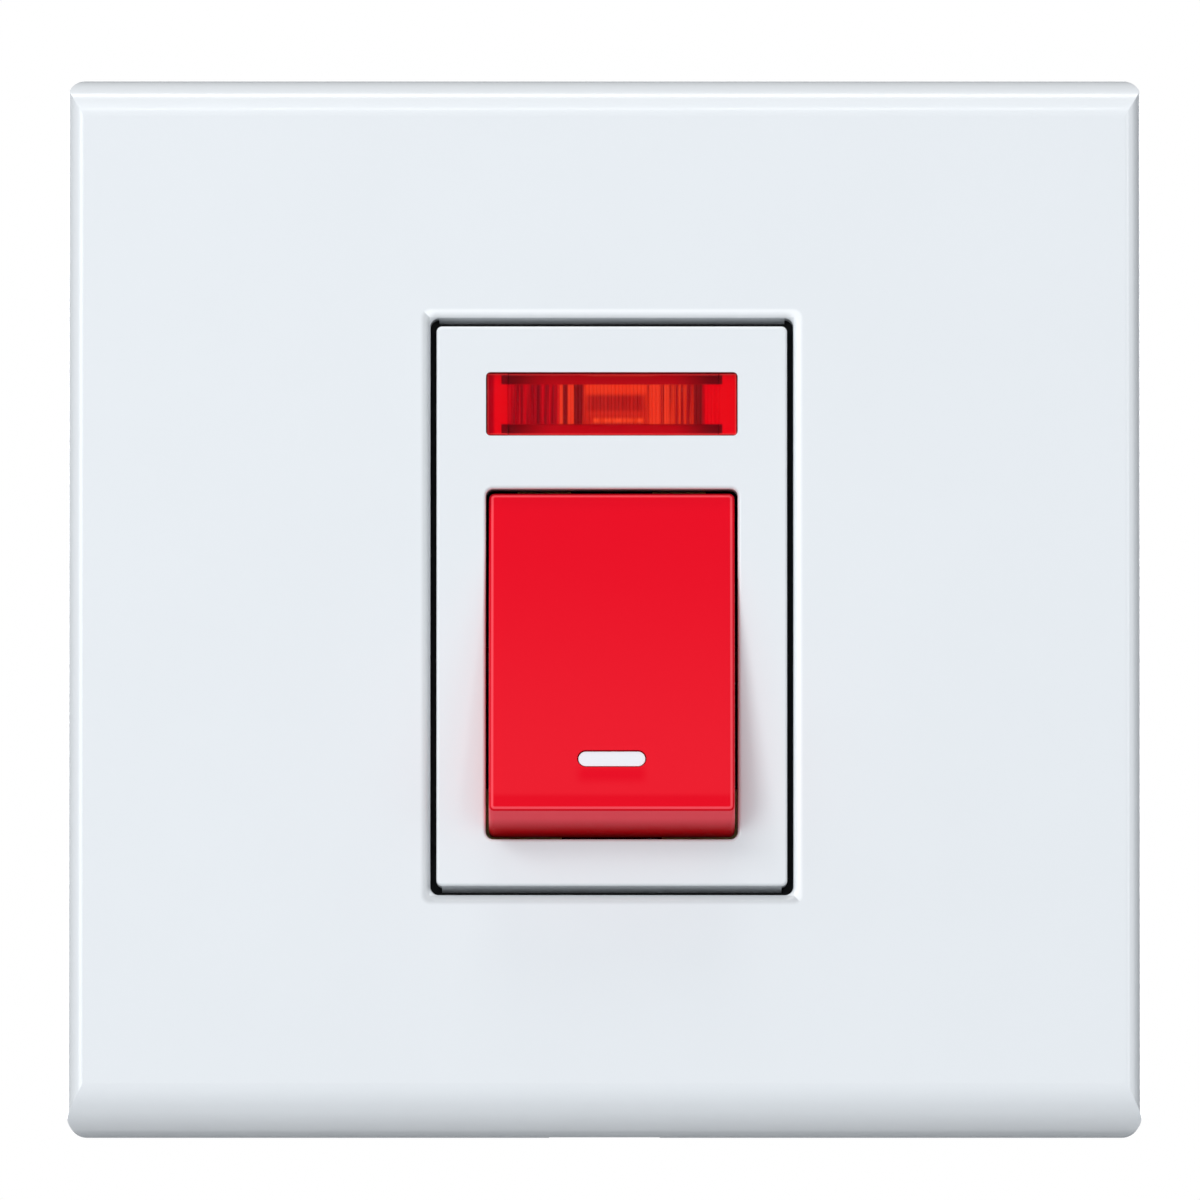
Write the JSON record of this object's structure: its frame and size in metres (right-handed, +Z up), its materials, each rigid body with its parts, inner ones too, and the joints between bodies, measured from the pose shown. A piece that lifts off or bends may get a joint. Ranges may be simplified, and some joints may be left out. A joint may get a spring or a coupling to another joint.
{
  "type": "double pole switch",
  "caption": "Wall switch on a screwless square plate: a red rocker tilts sprung see-saw contacts that break live and neutral together, under a fluted red indicator lens.",
  "frame": {"origin": "midway between the two wall-box screw slots, on the wall plane", "axes": "+X to the right seen from the front, +Y into the wall, +Z up"},
  "size_m": [0.087, 0.0337, 0.0856],
  "materials": {
    "plate_white": "smooth satin moulding",
    "rocker_red": "satin moulding",
    "marker_white": "satin inlay",
    "lens_red": "clear red moulding, fluted behind",
    "frame_grey": "fine matt moulding",
    "housing_dark": "fine matt moulding",
    "brass": "stamped and turned",
    "contact_silver": "silver alloy rivet",
    "zinc_steel": "zinc plated",
    "spring_steel": "drawn wire",
    "nylon": "natural nylon",
    "lamp_glass": "clear tube",
    "resistor_body": "dipped coating"
  },
  "bodies": {
    "base": {"cover_plate": "plate_white", "support_frame": "frame_grey", "module_bezel": "plate_white", "neon_lens": "lens_red", "housing": "housing_dark", "terminal_screws": "zinc_steel", "neon_lamp": "lamp_glass", "neon_electrodes": "spring_steel", "neon_resistor": "resistor_body", "neon_leads": "spring_steel", "live_fulcrum_strip": "brass", "live_fixed_strip": "brass", "live_fixed_tip": "contact_silver", "live_in_terminal": "brass", "live_out_terminal": "brass", "neutral_fulcrum_strip": "brass", "neutral_fixed_strip": "brass", "neutral_fixed_tip": "contact_silver", "neutral_in_terminal": "brass", "neutral_out_terminal": "brass"},
    "rocker": {"rocker": "rocker_red", "rocker_marker": "marker_white", "live_plunger_spring": "spring_steel", "neutral_plunger_spring": "spring_steel"},
    "live_lever": {"live_lever": "brass", "live_lever_tip": "contact_silver"},
    "neutral_lever": {"neutral_lever": "brass", "neutral_lever_tip": "contact_silver"},
    "live_plunger": {"live_plunger": "nylon"},
    "neutral_plunger": {"neutral_plunger": "nylon"}
  },
  "joints": [
    {"name": "rocker_hinge", "type": "hinge", "parent": "base", "child": "rocker", "pos_m": [0.0006, -0.0046, -0.0047], "axis": [1, 0, 0], "range_deg": [0, 22]},
    {"name": "live_lever_hinge", "type": "hinge", "parent": "base", "child": "live_lever", "pos_m": [0.0061, 0.00626, -0.0047], "axis": [1, 0, 0], "range_deg": [-20, 0]},
    {"name": "live_plunger_slide", "type": "slide", "parent": "rocker", "child": "live_plunger", "axis": [0, -0.9816, 0.1908], "range_m": [0, 0.0005], "stiffness_N_per_m": 500, "springref_m": -0.003, "deforming": ["live_plunger_spring"]},
    {"name": "neutral_lever_hinge", "type": "hinge", "parent": "base", "child": "neutral_lever", "pos_m": [-0.0049, 0.00626, -0.0047], "axis": [1, 0, 0], "range_deg": [-20, 0]},
    {"name": "neutral_plunger_slide", "type": "slide", "parent": "rocker", "child": "neutral_plunger", "axis": [0, -0.9816, 0.1908], "range_m": [0, 0.0005], "stiffness_N_per_m": 500, "springref_m": -0.003, "deforming": ["neutral_plunger_spring"]}
  ],
  "couplings": [
    {"joint": "live_lever_hinge", "follows": "rocker_hinge", "ratio": -0.90909},
    {"joint": "neutral_lever_hinge", "follows": "rocker_hinge", "ratio": -0.90909}
  ]
}
